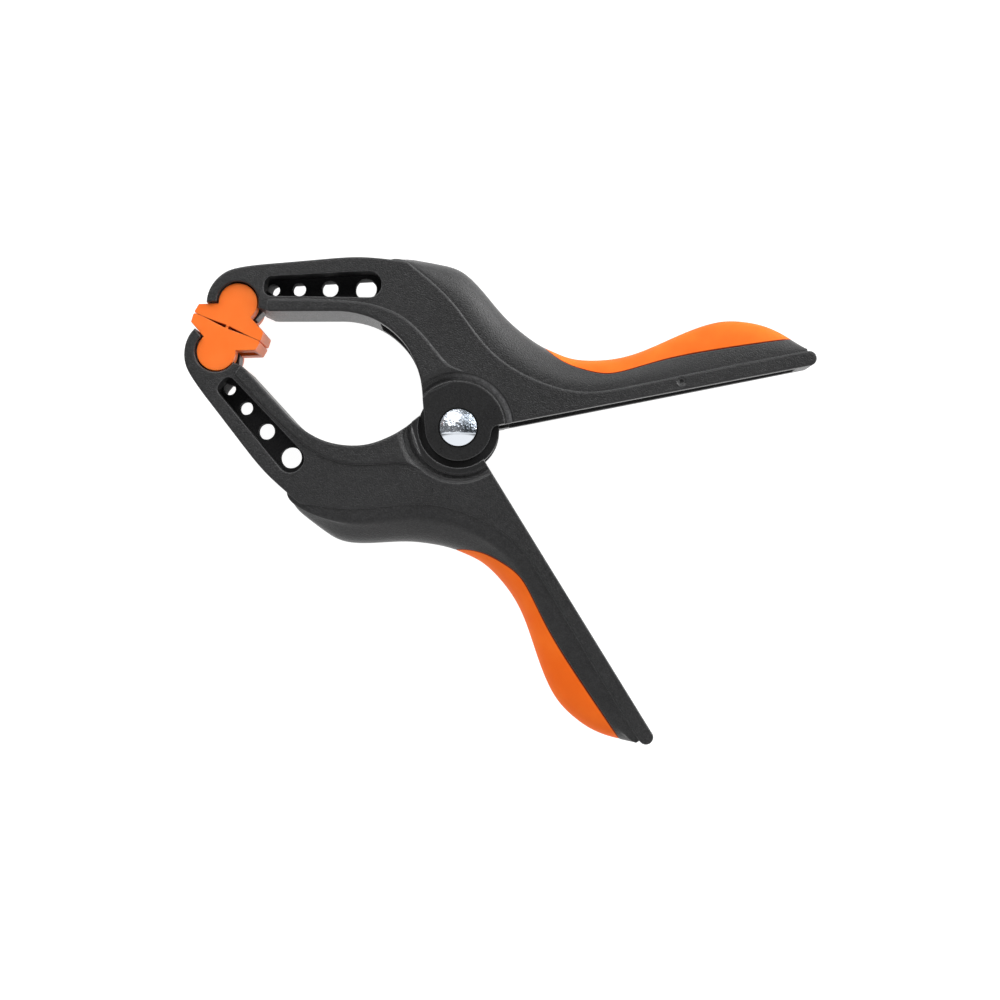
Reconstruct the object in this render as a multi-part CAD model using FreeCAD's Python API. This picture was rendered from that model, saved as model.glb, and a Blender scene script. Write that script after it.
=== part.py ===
import FreeCAD, Part
import math
import os

# Spring clamp: two identical moulded arms, one turned over, that cross on a rivet. A wound spring in the
# hollow hubs pushes the handles apart, so the jaws close. Each jaw carries a swivelling pad and each
# handle a soft grip. Sizes are millimetres and degrees. Everything is drawn with the rivet's axis on Z
# through 0, 0, the jaws towards -X and the upper arm towards +Y, and is moved along X at the end, so
# that the origin is the middle of the closed gripping faces.

# Depth of an arm, measured from the middle plane
panel_half = 8.6
back_drop = 0.5
bead_rise = 0.7
hub_rise = 0.4
hub_round = 0.32
tip_half = 5.8
taper_start = 18.0
side_wall = 2.5
back_wall = 2.6

# Hub and rivet
ear_radius = 8.4
hub_radius = 11.85
pocket_radius = 10.2
inner_ear_radius = 10.35
ring_block_radius = 13.0
moat_depth = 0.8
moat_floor_width = 1.0
moat_edge_radius = 14.2
moat_run_out = 3.6
moat_run_rise = 1.2
hub_room = 0.5
inner_ear_low = 3.6
inner_ear_thickness = 2.2
ear_gap = 0.3
shank_radius = 2.5
shank_clearance = 0.05
head_radius = 4.68
head_height = 2.1
head_rim = 0.3
head_gap = 0.06
washer_radius = 5.2
washer_thickness = 0.8
tail_radius = 3.9
tail_height = 1.3

# Handle: a straight inner edge at this angle from the X axis, at this offset from the rivet's axis
handle_angle = 34.7
inner_edge_offset = -1.25
hub_fillet = 2.0
handle_length = 91.5
tip_overhang = 1.75

# Jaw end and pad
grip_x = -64.15
lobe_height = 6.8
lobe_radius = 4.9
lobe_gap = 0.4
nose_angle = 201.0
jaw_end_inset = 2.2
pad_half_width = 9.24
pad_end_height = 2.5
pad_end_slope = 0.3
shoulder_x = 4.4
shoulder_height = 4.63
pad_half = 7.45
slot_half = 3.05
slot_floor = 2.6
pad_corner = 0.5
face_gap = 0.05
face_dip = 0.36
face_dip_half = 6.25
face_tooth_half = 0.35
tongue_gap = 0.3
tongue_radius = 3.9
tongue_turn = -50.0
tongue_corners = [(5.0, 5.0), (5.9, 7.6), (8.0, 12.5), (-3.9, 14.0)]
stub_radius = 2.0
stub_length = 1.5
stub_clearance = 0.06

# Jaw recess and its holes
web_half = 1.5
recess_start = [(-60.35, 15.6), (-59.0, 10.75)]
recess_end = [(-31.1, 22.5), (-34.1, 28.9)]
recess_start_round = 1.9
recess_end_round = 3.2
hole_places = [(-58.2, 13.95), (-52.3, 16.75), (-45.1, 20.1), (-36.6, 23.75)]
hole_radii = [1.55, 1.72, 2.12, 2.75]

# Grip
grip_thickness = 2.4
grip_side = 1.6

# Spring
wire_radius = 0.8
coil_radius = 6.0
coil_pitch = 2.22
whole_turns = 2
leg_length = 22.0
gap_points = 400

# Outer edge of the jaw from its nose to the corner at which the ridge of the rounded back begins
jaw_outer = [
    (-71.3, 3.6), (-71.95, 6.6), (-71.5, 9.7), (-69.8, 12.9), (-66.4, 15.7),
    (-57.9, 20.55), (-48.4, 25.75), (-40.5, 29.75), (-35.0, 31.75), (-29.0, 33.5),
]

# Throat edge from the jaw's flat stretch round to the hub, where it runs straight onto the ear
throat = [
    (-40.0, 14.75), (-35.3, 16.2), (-30.3, 16.65), (-24.3, 15.5), (-18.6, 12.5), (-14.5, 8.4),
    (-11.56, 3.72),
]
throat_start = (-55.3, 8.0)
throat_end_direction = (0.463, -0.886)
jaw_end_height = 7.6

# Outer edge of the bead that runs round the throat
bead_outer = [
    (-57.2, 10.5), (-48.0, 14.6), (-40.0, 17.7), (-35.1, 19.3), (-30.0, 20.2), (-24.0, 20.0),
    (-18.4, 18.2), (-13.4, 15.75), (-10.2, 14.15), (-8.0, 13.5), (-5.5, 13.45), (-2.5, 13.9),
]

# Rounded back: ridge points, where the flat panel ends, with the crest points across from them
shoulder_stations = [
    ((-33.1, 31.3), (-33.3, 31.8)),
    ((-29.2, 32.6), (-29.6, 35.0)),
    ((-25.3, 32.45), (-26.7, 36.05)),
    ((-20.3, 31.0), (-21.3, 37.45)),
    ((-15.6, 29.2), (-16.2, 38.0)),
    ((-10.5, 26.6), (-8.2, 35.2)),
    ((-5.0, 23.4), (-1.2, 31.75)),
    ((1.0, 20.7), (4.6, 29.75)),
    ((7.3, 19.3), (10.0, 28.6)),
    ((13.5, 19.0), (15.0, 28.3)),
    ((20.0, 19.6), (19.8, 28.75)),
]

# The same along the handle, measured back from its end: place and height of the ridge, then of the crest
handle_stations = [
    ((58.7, 2.9), (54.2, 11.1)),
    ((51.9, 2.1), (48.3, 10.45)),
    ((45.5, 2.1), (43.0, 10.75)),
    ((38.5, 2.2), (37.0, 11.9)),
    ((31.5, 2.3), (31.0, 13.3)),
    ((25.0, 2.4), (25.0, 14.4)),
    ((19.0, 2.5), (19.0, 14.6)),
    ((13.5, 2.5), (13.5, 13.35)),
    ((9.0, 2.5), (9.0, 11.4)),
    ((5.5, 2.5), (5.5, 9.0)),
    ((2.5, 2.5), (2.5, 6.2)),
    ((0.2, 2.5), (0.2, 3.7)),
]
ridge_lap = 1.5
ledge_width = 0.4
ledge_share = 0.3
section_steps = 6
ridge_start = 2
solid_count = 3
plain_count = 8
hollow_count = 20

# Edge between grip and arm: at the shoulder, then along the handle, measured back from its end
grip_edge_start = [(9.5, 29.6), (13.8, 27.4), (18.2, 26.4), (23.5, 26.6), (29.0, 27.9)]
grip_edge_end = [(46.0, 6.35), (37.6, 7.1), (22.9, 7.15), (10.6, 6.7), (0.5, 6.4)]

# Hollow behind the throat, between the jaw's solid web and the shoulder
hollow_start = [(-29.2, 10.0), (-29.2, 27.5), (-26.5, 30.8), (-20.3, 31.0)]
hollow_end = 3.5
hollow_mouth_offset = -8.0
hollow_mouth = [(20.0, -14.0), (-20.0, -14.0)]
back_side_wall = 2.2
gripped_side_wall = 1.8

# Small features
gate_place = (33.6, 0.9)
gate_radius = 0.65
gate_depth = 0.45
edge_round = 0.5
panel_round = 0.4

# Cutters run this far past the surfaces they cut, or right through
clear = 4.0
far = 60.0


def point(pair, height=0.0):
    """A point from a pair in the plan."""
    return FreeCAD.Vector(pair[0], pair[1], height)


def along_handle(place, offset, height=0.0):
    """A point at a distance along the handle and an offset across it."""
    turn = math.radians(handle_angle)
    x = place * math.cos(turn) - offset * math.sin(turn)
    y = place * math.sin(turn) + offset * math.cos(turn)
    return FreeCAD.Vector(x, y, height)


def from_end(place, offset, height=0.0):
    """A point at a distance back from the handle's end and an offset across it."""
    return along_handle(handle_length - place, offset, height)


def line(start, end):
    """A straight edge."""
    return Part.makeLine(start, end)


def smooth(points, start=None, end=None):
    """A smooth edge through points, with the given end directions where they matter."""
    curve = Part.BSplineCurve()
    if start is None:
        curve.interpolate(points)
    else:
        curve.interpolate(points, InitialTangent=start, FinalTangent=end)
    return curve.toShape()


def prism(edges, low, high):
    """A flat outline stood up between two heights."""
    wire = Part.Wire(Part.__sortEdges__(edges))
    face = Part.Face(wire)
    face.translate(FreeCAD.Vector(0, 0, low))
    return face.extrude(FreeCAD.Vector(0, 0, high - low))


def polygon_prism(points, low, high):
    """A straight-sided outline stood up between two heights."""
    face = Part.Face(Part.makePolygon(points + [points[0]]))
    face.translate(FreeCAD.Vector(0, 0, low))
    return face.extrude(FreeCAD.Vector(0, 0, high - low))


def disc(radius, low, high, centre=(0.0, 0.0)):
    """A round plate between two heights."""
    return Part.makeCylinder(radius, high - low, FreeCAD.Vector(centre[0], centre[1], low))


def both_sides(shape):
    """A cutter and its mirror image in the middle plane."""
    return [shape, shape.mirror(FreeCAD.Vector(0, 0, 0), FreeCAD.Vector(0, 0, 1))]


def turned_over(shape):
    """The same piece turned over about the X axis."""
    turned = shape.copy()
    turned.rotate(FreeCAD.Vector(0, 0, 0), FreeCAD.Vector(1, 0, 0), 180)
    return turned


def panel_height(place):
    """Half depth of the side panel at a distance along the handle."""
    share = max(0.0, place - taper_start) / (handle_length - taper_start)
    return panel_half - share * (panel_half - tip_half)


def stations():
    """Ridge point, crest point and half depth of every section of the rounded back."""
    found = []
    turn = math.radians(handle_angle)
    for ridge, crest in shoulder_stations:
        place = ridge[0] * math.cos(turn) + ridge[1] * math.sin(turn)
        found.append((point(ridge), point(crest), panel_height(place) - back_drop))
    for ridge, crest in handle_stations:
        half = panel_height(handle_length - ridge[0]) - back_drop
        found.append((from_end(*ridge), from_end(*crest), half))
    return found


def ridge_points():
    """The line on which the flat panel ends and the rounded back begins."""
    return [station[0] for station in stations()]


def hub_tangents():
    """Where the ear's circle leaves for the throat, and the fillet between the ear and the handle."""
    end = point(throat[-1])
    direction = point(throat_end_direction).normalize()
    run = -end.dot(direction)
    leaving = end + direction * run
    leaving = leaving.normalize() * ear_radius
    offset = inner_edge_offset - hub_fillet
    place = math.sqrt((ear_radius + hub_fillet) ** 2 - offset ** 2)
    centre = along_handle(place, offset)
    meeting = centre * (ear_radius / centre.Length)
    landing = along_handle(place, inner_edge_offset)
    middle = centre + ((meeting + landing) * 0.5 - centre).normalize() * hub_fillet
    return leaving, meeting, middle, landing


def throat_edges():
    """The jaw's flat inner stretch and the round of the throat."""
    corner = point((grip_x + lobe_radius + lobe_gap + jaw_end_inset, jaw_end_height))
    start = point(throat_start)
    flat_end = point(throat[0])
    round_edge = smooth([point(pair) for pair in throat], flat_end - start, point(throat_end_direction))
    return corner, [line(corner, start), line(start, flat_end), round_edge]


def pad_pocket():
    """The round edge of the arm behind the pad's lobe, from the jaw's nose to its inner corner."""
    radius = lobe_radius + lobe_gap
    centre = point((grip_x, lobe_height))
    turn = math.radians(nose_angle)
    nose = centre + point((math.cos(turn), math.sin(turn))) * radius
    rise = jaw_end_height - lobe_height
    inner = centre + point((math.sqrt(radius ** 2 - rise ** 2), rise))
    top = centre + point((0, radius))
    return nose, inner, Part.Arc(nose, top, inner).toShape()


def panel_outline():
    """Plan of the arm inside the rounded back, the ear that faces out included."""
    leaving, meeting, middle, landing = hub_tangents()
    corner, edges = throat_edges()
    nose, inner, pocket = pad_pocket()
    outer = [point(pair) for pair in jaw_outer]
    ridge = ridge_points()
    tip = from_end(-tip_overhang, (inner_edge_offset + handle_stations[-1][0][1]) / 2)
    lower = along_handle(handle_length, inner_edge_offset)
    edges.append(line(point(throat[-1]), leaving))
    bottom = FreeCAD.Vector(0, -ear_radius, 0)
    edges.append(Part.Arc(leaving, bottom, meeting).toShape())
    edges.append(Part.Arc(meeting, middle, landing).toShape())
    edges.append(line(landing, lower))
    edges.append(Part.Arc(lower, tip, ridge[-1]).toShape())
    edges.append(smooth(outer))
    edges.append(smooth([outer[-1]] + ridge[ridge_start:]))
    edges.append(line(outer[0], nose))
    edges.append(pocket)
    edges.append(line(inner, corner))
    return edges


def taper_cutters():
    """Wedges that thin the handle's side panels towards its end."""
    high = panel_half + clear
    reach = handle_length + tip_overhang + clear
    slope = (panel_half - tip_half) / (handle_length - taper_start)
    low_end = panel_half - slope * (reach - taper_start)
    corners = [(taper_start, panel_half), (reach, low_end), (reach, high), (taper_start, high)]
    points = [FreeCAD.Vector(place, -far, height) for place, height in corners]
    wedge = Part.Face(Part.makePolygon(points + [points[0]])).extrude(FreeCAD.Vector(0, 2 * far, 0))
    wedge.rotate(FreeCAD.Vector(0, 0, 0), FreeCAD.Vector(0, 0, 1), handle_angle)
    return both_sides(wedge)


def moat_cutters():
    """The round groove outside the hub, whose outer side sweeps up and off the bead."""
    floor = panel_half - moat_depth
    high = panel_half + clear
    inner = FreeCAD.Vector(hub_radius, 0, floor)
    outer = FreeCAD.Vector(hub_radius + moat_floor_width, 0, floor)
    edge = FreeCAD.Vector(moat_edge_radius, 0, panel_half)
    off = FreeCAD.Vector(moat_edge_radius + moat_run_out, 0, panel_half + moat_run_rise)
    far_top = FreeCAD.Vector(off.x, 0, high)
    near_top = FreeCAD.Vector(hub_radius, 0, high)
    sweep = smooth([outer, edge, off], FreeCAD.Vector(1, 0, 0), FreeCAD.Vector(1, 0, 0.2))
    edges = [line(inner, outer), sweep, line(off, far_top), line(far_top, near_top), line(near_top, inner)]
    face = Part.Face(Part.Wire(Part.__sortEdges__(edges)))
    ring = face.revolve(FreeCAD.Vector(0, 0, 0), FreeCAD.Vector(0, 0, 1), 360)
    return both_sides(ring)


def bead():
    """The raised, rounded bead along the jaw's inner edge and round the throat."""
    corner, edges = throat_edges()
    outer = [point(pair) for pair in bead_outer]
    edges.append(line(point(throat[-1]), outer[-1]))
    edges.append(smooth(outer))
    edges.append(line(outer[0], corner))
    top = panel_half + bead_rise
    solid = prism(edges, -top, top)
    rims = []
    for edge in solid.Edges:
        box = edge.BoundBox
        flat = abs(box.ZMax - box.ZMin) < 0.01
        if flat and edge.Length > 5.0:
            rims.append(edge)
    return solid.makeFillet(edge_round, rims)


def hub_disc(outline):
    """The raised round face of the hub, where it lies on the arm."""
    top = panel_half + hub_rise
    plate = disc(hub_radius, -top, top)
    rims = [edge for edge in plate.Edges if abs(edge.BoundBox.ZMax - edge.BoundBox.ZMin) < 0.01]
    plate = plate.makeFillet(hub_round, rims)
    return plate.common(prism(outline, -top, top))


def back_section(ridge, crest, half):
    """Closed section of the rounded back: flat at the ridge and half an ellipse over the crest."""
    outward = (crest - ridge).normalize()
    inside = ridge - outward * ridge_lap
    ledge = ridge + outward * min(ledge_width, (crest - ridge).Length * ledge_share)
    across = crest - ledge
    curve = []
    for step in range(section_steps + 1):
        angle = math.radians(90.0 - 180.0 * step / section_steps)
        place = ledge + across * math.cos(angle)
        curve.append(FreeCAD.Vector(place.x, place.y, half * math.sin(angle)))
    top = FreeCAD.Vector(inside.x, inside.y, half)
    bottom = FreeCAD.Vector(inside.x, inside.y, -half)
    edges = [line(bottom, top), line(top, curve[0])]
    edges.append(smooth(curve, across, across * -1.0))
    edges.append(line(curve[-1], bottom))
    return Part.Wire(edges)


def back_loft(first, last, back_inset, side_inset):
    """The rounded back between two stations, drawn in from its surface by the insets."""
    wires = []
    for ridge, crest, half in stations()[first:last + 1]:
        across = (crest - ridge).normalize()
        moved = crest - across * back_inset
        wires.append(back_section(ridge, moved, half - side_inset))
    return Part.makeLoft(wires, True, False)


def grip_region():
    """Everything outside the edge between grip and arm."""
    edge = [point(pair) for pair in grip_edge_start] + [from_end(*pair) for pair in grip_edge_end]
    outer_end = FreeCAD.Vector(edge[-1].x, 2 * far, 0)
    outer_start = FreeCAD.Vector(edge[0].x, 2 * far, 0)
    edges = [smooth(edge), line(edge[-1], outer_end), line(outer_end, outer_start)]
    edges.append(line(outer_start, edge[0]))
    return prism(edges, -far, far)


def grip():
    """Soft skin moulded over the back of the handle."""
    last = len(stations()) - 1
    whole = back_loft(0, last, 0.0, 0.0)
    core = back_loft(plain_count, last - 1, grip_thickness, grip_side)
    return whole.common(grip_region()).cut(core)


def hollow():
    """Room inside the arm: open to the throat and along the handle's inner side."""
    ridge = ridge_points()
    start = [point(pair) for pair in hollow_start]
    last = from_end(hollow_end, handle_stations[-1][0][1])
    below = from_end(hollow_end, hollow_mouth_offset)
    hub_side, jaw_side = [point(pair) for pair in hollow_mouth]
    edges = [line(start[0], start[1]), line(start[1], start[2]), line(start[2], start[3])]
    edges.append(smooth(ridge[solid_count:hollow_count + 1] + [last]))
    edges.append(line(last, below))
    edges.append(line(below, hub_side))
    edges.append(line(hub_side, jaw_side))
    edges.append(line(jaw_side, start[0]))
    half = panel_half - side_wall
    room = prism(edges, -half, half)
    for wedge in taper_cutters():
        side = 1.0 if wedge.BoundBox.ZMax > 0 and wedge.BoundBox.ZMin > 0 else -1.0
        wedge.translate(FreeCAD.Vector(0, 0, -side * side_wall))
        room = room.cut(wedge)
    return room


def back_hollow():
    """Room inside the rounded back."""
    plain = back_loft(solid_count, plain_count + 1, back_wall, back_side_wall)
    gripped_inset = back_wall + grip_thickness
    gripped = back_loft(plain_count, hollow_count, gripped_inset, gripped_side_wall + grip_side)
    return plain.fuse(gripped)


def recess_cutters():
    """The long pocket on each side of the jaw, which leaves a thin web in the middle."""
    corners = [point(pair) for pair in recess_start + recess_end]
    plan = polygon_prism(corners, web_half, panel_half + clear)
    middle = (corners[0].x + corners[2].x) / 2
    upright = [edge for edge in plan.Edges if edge.BoundBox.ZMax - edge.BoundBox.ZMin > 1.0]
    narrow = [edge for edge in upright if edge.BoundBox.Center.x < middle]
    plan = plan.makeFillet(recess_start_round, narrow)
    upright = [edge for edge in plan.Edges if edge.BoundBox.ZMax - edge.BoundBox.ZMin > 1.0]
    wide = [edge for edge in upright if edge.BoundBox.Center.x > middle]
    return both_sides(plan.makeFillet(recess_end_round, wide))


def tongue():
    """The thin end of the jaw, which goes between the pad's cheeks."""
    half = slot_half - tongue_gap
    left = (grip_x - tongue_radius, lobe_height)
    turn = math.radians(tongue_turn)
    right = (grip_x + tongue_radius * math.cos(turn), lobe_height + tongue_radius * math.sin(turn))
    low = point((grip_x, lobe_height - tongue_radius))
    corners = [right] + [(grip_x + x, y) for x, y in tongue_corners] + [left]
    edges = [Part.Arc(point(left), low, point(right)).toShape()]
    for start, end in zip(corners[:-1], corners[1:]):
        edges.append(line(point(start), point(end)))
    return prism(edges, -half, half)


def rounded_panel(outline):
    """The side panels and all between them, tapered towards the handle's end, with rounded edges."""
    body = prism(outline, -panel_half, panel_half).cut(taper_cutters())
    rims = []
    for edge in body.Edges:
        middle = edge.valueAt((edge.FirstParameter + edge.LastParameter) / 2)
        box = edge.BoundBox
        high = box.ZMin > tip_half - 1.0 or box.ZMax < 1.0 - tip_half
        bend = edge.Curve.TypeId == "Part::GeomLine" and abs(middle.z) > panel_half - 0.01
        on_bend = along_handle(taper_start, 0, middle.z)
        across = bend and on_bend.distanceToLine(middle, edge.tangentAt(0)) < 0.01
        if high and not across:
            rims.append(edge)
    return body.makeFillet(panel_round, rims)


def arm(soft_skin):
    """One arm, as the upper one lies: its outer ear towards +Z and its inner ear towards -Z."""
    outline = panel_outline()
    body = rounded_panel(outline)
    body = body.fuse(back_loft(0, len(stations()) - 1, 0.0, 0.0)).cut(soft_skin)
    body = body.fuse([bead(), hub_disc(outline)]).cut(moat_cutters())

    outer_ear_low = inner_ear_low + inner_ear_thickness + ear_gap
    ring_block = disc(ring_block_radius, -panel_half, -inner_ear_low)
    cutters = [hollow().cut(ring_block), back_hollow()]
    cutters.append(disc(pocket_radius + hub_room, -inner_ear_low, outer_ear_low))
    cutters.append(disc(pocket_radius, -panel_half - clear, -inner_ear_low - inner_ear_thickness))
    cutters.extend(recess_cutters())
    for place, radius in zip(hole_places, hole_radii):
        cutters.append(disc(radius, -web_half - clear, web_half + clear, place))
    gate = from_end(*gate_place)
    depth = panel_height(handle_length - gate_place[0]) - gate_depth
    cutters.append(disc(gate_radius, depth, panel_half, (gate.x, gate.y)))
    body = body.cut(cutters)

    inner_ear = disc(inner_ear_radius, -inner_ear_low - inner_ear_thickness, -inner_ear_low)
    body = body.fuse([inner_ear, tongue()])
    body = body.cut(disc(shank_radius + shank_clearance, -far, far))
    return body.cut(disc(stub_radius + stub_clearance, -slot_half, slot_half, (grip_x, lobe_height)))


def pad():
    """The upper jaw's pad: a wide gripping foot with a round lobe, slotted to sit over the tongue."""
    foot_top = pad_end_height
    end_x = pad_half_width - pad_end_slope
    low = face_gap
    points = [
        (-pad_half_width, low), (-face_dip_half, low), (-face_tooth_half, low + face_dip),
        (-face_tooth_half, low), (face_tooth_half, low), (face_tooth_half, low + face_dip),
        (face_dip_half, low), (pad_half_width, low), (end_x, foot_top), (shoulder_x, shoulder_height),
    ]
    turned = [point((grip_x + x, y)) for x, y in points]
    left_shoulder = point((grip_x - shoulder_x, shoulder_height))
    left_end = point((grip_x - end_x, foot_top))
    top = point((grip_x, lobe_height + lobe_radius))
    edges = [line(start, end) for start, end in zip(turned[:-1], turned[1:])]
    edges.append(Part.Arc(turned[-1], top, left_shoulder).toShape())
    edges.append(line(left_shoulder, left_end))
    edges.append(line(left_end, turned[0]))
    body = prism(edges, -pad_half, pad_half)
    ends = []
    for edge in body.Edges:
        box = edge.BoundBox
        upright = box.ZMax - box.ZMin > 1.0
        if upright and abs(box.Center.x - grip_x) > end_x - 0.1:
            ends.append(edge)
    body = body.makeFillet(pad_corner, ends)
    slot_low = point((grip_x - pad_half_width - clear, slot_floor))
    slot_high = point((grip_x + pad_half_width + clear, lobe_height + lobe_radius + clear))
    corners = [slot_low, FreeCAD.Vector(slot_high.x, slot_low.y, 0), slot_high]
    corners.append(FreeCAD.Vector(slot_low.x, slot_high.y, 0))
    body = body.cut(polygon_prism(corners, -slot_half, slot_half))
    centre = (grip_x, lobe_height)
    stubs = [disc(stub_radius, slot_half - stub_length, slot_half + 1.0, centre)]
    stubs.append(disc(stub_radius, -slot_half - 1.0, stub_length - slot_half, centre))
    return body.fuse(stubs)


def dome(radius, height, base):
    """A low dome standing on a base height."""
    ball = (radius ** 2 + height ** 2) / (2 * height)
    turn = math.asin(radius / ball) / 2
    foot = FreeCAD.Vector(0, 0, base)
    rim = FreeCAD.Vector(radius, 0, base)
    top = FreeCAD.Vector(0, 0, base + height)
    between = FreeCAD.Vector(ball * math.sin(turn), 0, base + height - ball + ball * math.cos(turn))
    half = Part.Face(Part.Wire([line(foot, rim), Part.Arc(rim, between, top).toShape(), line(top, foot)]))
    return half.revolve(FreeCAD.Vector(0, 0, 0), FreeCAD.Vector(0, 0, 1), 360)


def pivot_rivet():
    """Rivet with a polished domed head on the near side and a set tail on the far side."""
    face = panel_half + hub_rise
    head_base = face + head_gap
    head = dome(head_radius, head_height - head_rim, head_base + head_rim)
    rim = disc(head_radius, head_base, head_base + head_rim)
    low = -face - washer_thickness
    shank = disc(shank_radius, low, head_base)
    tail_rim = disc(tail_radius, low - head_rim, low)
    tail = turned_over(dome(tail_radius, tail_height - head_rim, head_rim - low))
    return head.fuse([rim, shank, tail_rim, tail]).removeSplitter()


def rivet_washer():
    """Flat washer under the rivet's set tail."""
    face = panel_half + hub_rise
    ring = disc(washer_radius, -face - washer_thickness, -face)
    return ring.cut(disc(shank_radius + shank_clearance, -far, far))


def coil_point(angle, start_angle, total, rise):
    """A point of the coil's middle line and the direction in which it runs there."""
    turn = math.radians(start_angle + angle)
    height = rise / 2 - rise * angle / total
    place = FreeCAD.Vector(coil_radius * math.cos(turn), coil_radius * math.sin(turn), height)
    climb = -rise / math.radians(total)
    direction = FreeCAD.Vector(-coil_radius * math.sin(turn), coil_radius * math.cos(turn), climb)
    return place, direction.normalize()


def biarc(start, start_direction, end, end_direction):
    """Two arcs that meet smoothly and join two points in the given directions."""
    gap = end - start
    both = start_direction + end_direction
    a = 2 * (1 - start_direction.dot(end_direction))
    b = gap.dot(both)
    reach = (-b + math.sqrt(b * b + a * gap.dot(gap))) / a
    meet = (start + end + (start_direction - end_direction) * reach) * 0.5
    edges = []
    for origin, direction, finish in ((start, start_direction, meet), (end, end_direction * -1.0, meet)):
        chord = finish - origin
        normal = direction.cross(chord).cross(direction).normalize()
        radius = chord.dot(chord) / (2 * chord.dot(normal))
        centre = origin + normal * radius
        middle = (origin + finish) * 0.5
        half_way = centre + (middle - centre).normalize() * radius
        if origin is start:
            edges.append(Part.Arc(start, half_way, meet).toShape())
        else:
            edges.append(Part.Arc(meet, half_way, end).toShape())
    return edges


def least_gap(spine):
    """Least gap between the surfaces of turns a good way apart along the wire, measured on points."""
    places = spine.discretize(gap_points)
    apart = int(gap_points * math.pi * coil_radius / spine.Length)
    least = far
    for index, place in enumerate(places):
        for other in places[index + apart:]:
            least = min(least, place.distanceToPoint(other))
    return least - 2 * wire_radius


def torsion_spring():
    """Wound spring round the rivet, with a leg along the inside of each handle."""
    start_angle = handle_angle + 90.0
    total = 360.0 * whole_turns + (360.0 - 2 * start_angle)
    rise = coil_pitch * total / 360.0
    spans = 2 * round(total / 180.0)
    edges = []
    places = [coil_point(total * step / spans, start_angle, total, rise) for step in range(spans + 1)]
    first, first_direction = places[0]
    last, last_direction = places[-1]
    first_direction = FreeCAD.Vector(first_direction.x, first_direction.y, 0).normalize()
    last_direction = FreeCAD.Vector(last_direction.x, last_direction.y, 0).normalize()
    places[0] = (first, first_direction)
    places[-1] = (last, last_direction)
    edges.append(line(first - first_direction * leg_length, first))
    for (start, direction), (end, end_direction) in zip(places[:-1], places[1:]):
        edges.extend(biarc(start, direction, end, end_direction))
    edges.append(line(last, last + last_direction * leg_length))
    spine = Part.Wire(edges)
    ring = Part.Wire(Part.makeCircle(wire_radius, spine.Vertexes[0].Point, first_direction))
    tube = spine.makePipeShell([ring], True, False)
    print("spring gap between turns", round(least_gap(spine), 2), "turns", round(total / 360.0, 2))
    print("spring volume", round(tube.Volume, 1), "of", round(spine.Length * math.pi * wire_radius ** 2, 1))
    return tube


def save(name, shape):
    """Moves a piece so that the middle of the gripping faces is the origin and writes it out."""
    placed = shape.copy()
    placed.translate(FreeCAD.Vector(-grip_x, 0, 0))
    if placed.ShapeType == "Compound" and len(placed.Solids) == 1:
        placed = placed.Solids[0]
    print(name, "valid", placed.isValid(), "solids", len(placed.Solids), "volume", round(placed.Volume, 1))
    placed.exportStep("parts/" + name + ".step")


os.makedirs("parts", exist_ok=True)
upper_grip = grip()
upper_arm = arm(upper_grip)
upper_pad = pad()
save("upper_arm", upper_arm)
save("lower_arm", turned_over(upper_arm))
save("upper_grip", upper_grip)
save("lower_grip", turned_over(upper_grip))
save("upper_pad", upper_pad)
save("lower_pad", turned_over(upper_pad))
save("pivot_rivet", pivot_rivet())
save("rivet_washer", rivet_washer())
save("torsion_spring", torsion_spring())
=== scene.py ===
"""Spring clamp: finishes for the moulded arms, grips, pads, rivet and spring, with a studio stage."""

import math

import bmesh
import bpy
import numpy as np
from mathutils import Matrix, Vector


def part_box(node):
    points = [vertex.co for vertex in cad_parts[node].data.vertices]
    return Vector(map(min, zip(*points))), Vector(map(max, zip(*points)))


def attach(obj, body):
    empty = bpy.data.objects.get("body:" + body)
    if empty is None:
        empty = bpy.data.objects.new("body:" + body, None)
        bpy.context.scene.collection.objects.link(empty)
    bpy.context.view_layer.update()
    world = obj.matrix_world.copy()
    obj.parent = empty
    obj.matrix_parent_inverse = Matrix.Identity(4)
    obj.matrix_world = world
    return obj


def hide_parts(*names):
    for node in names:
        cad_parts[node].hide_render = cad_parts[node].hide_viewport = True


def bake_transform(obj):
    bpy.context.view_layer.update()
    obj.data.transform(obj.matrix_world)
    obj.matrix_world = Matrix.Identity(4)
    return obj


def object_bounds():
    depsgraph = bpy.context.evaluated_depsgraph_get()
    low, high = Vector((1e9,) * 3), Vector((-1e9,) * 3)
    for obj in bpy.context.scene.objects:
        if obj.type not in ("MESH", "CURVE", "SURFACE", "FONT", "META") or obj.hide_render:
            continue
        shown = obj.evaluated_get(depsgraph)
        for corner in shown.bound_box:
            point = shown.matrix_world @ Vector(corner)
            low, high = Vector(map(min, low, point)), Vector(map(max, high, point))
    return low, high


bl_info = {
    "name": "Spring Clamp Finishes",
    "version": (1, 0, 0),
    "blender": (4, 5, 0),
    "location": "3D View > Sidebar > Clamp",
    "description": "Finishes a spring clamp and sets it on a pale studio floor",
    "category": "Object",
}

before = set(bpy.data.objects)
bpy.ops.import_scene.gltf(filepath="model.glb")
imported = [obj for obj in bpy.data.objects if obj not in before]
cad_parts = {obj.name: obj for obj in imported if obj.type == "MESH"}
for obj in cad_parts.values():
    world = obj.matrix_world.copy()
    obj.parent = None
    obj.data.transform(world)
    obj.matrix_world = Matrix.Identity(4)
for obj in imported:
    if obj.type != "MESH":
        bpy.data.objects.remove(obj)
start_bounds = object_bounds()
RIVET_LOW, RIVET_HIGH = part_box("pivot_rivet")
RIVET_CENTRE = (RIVET_LOW + RIVET_HIGH) * 0.5

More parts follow.
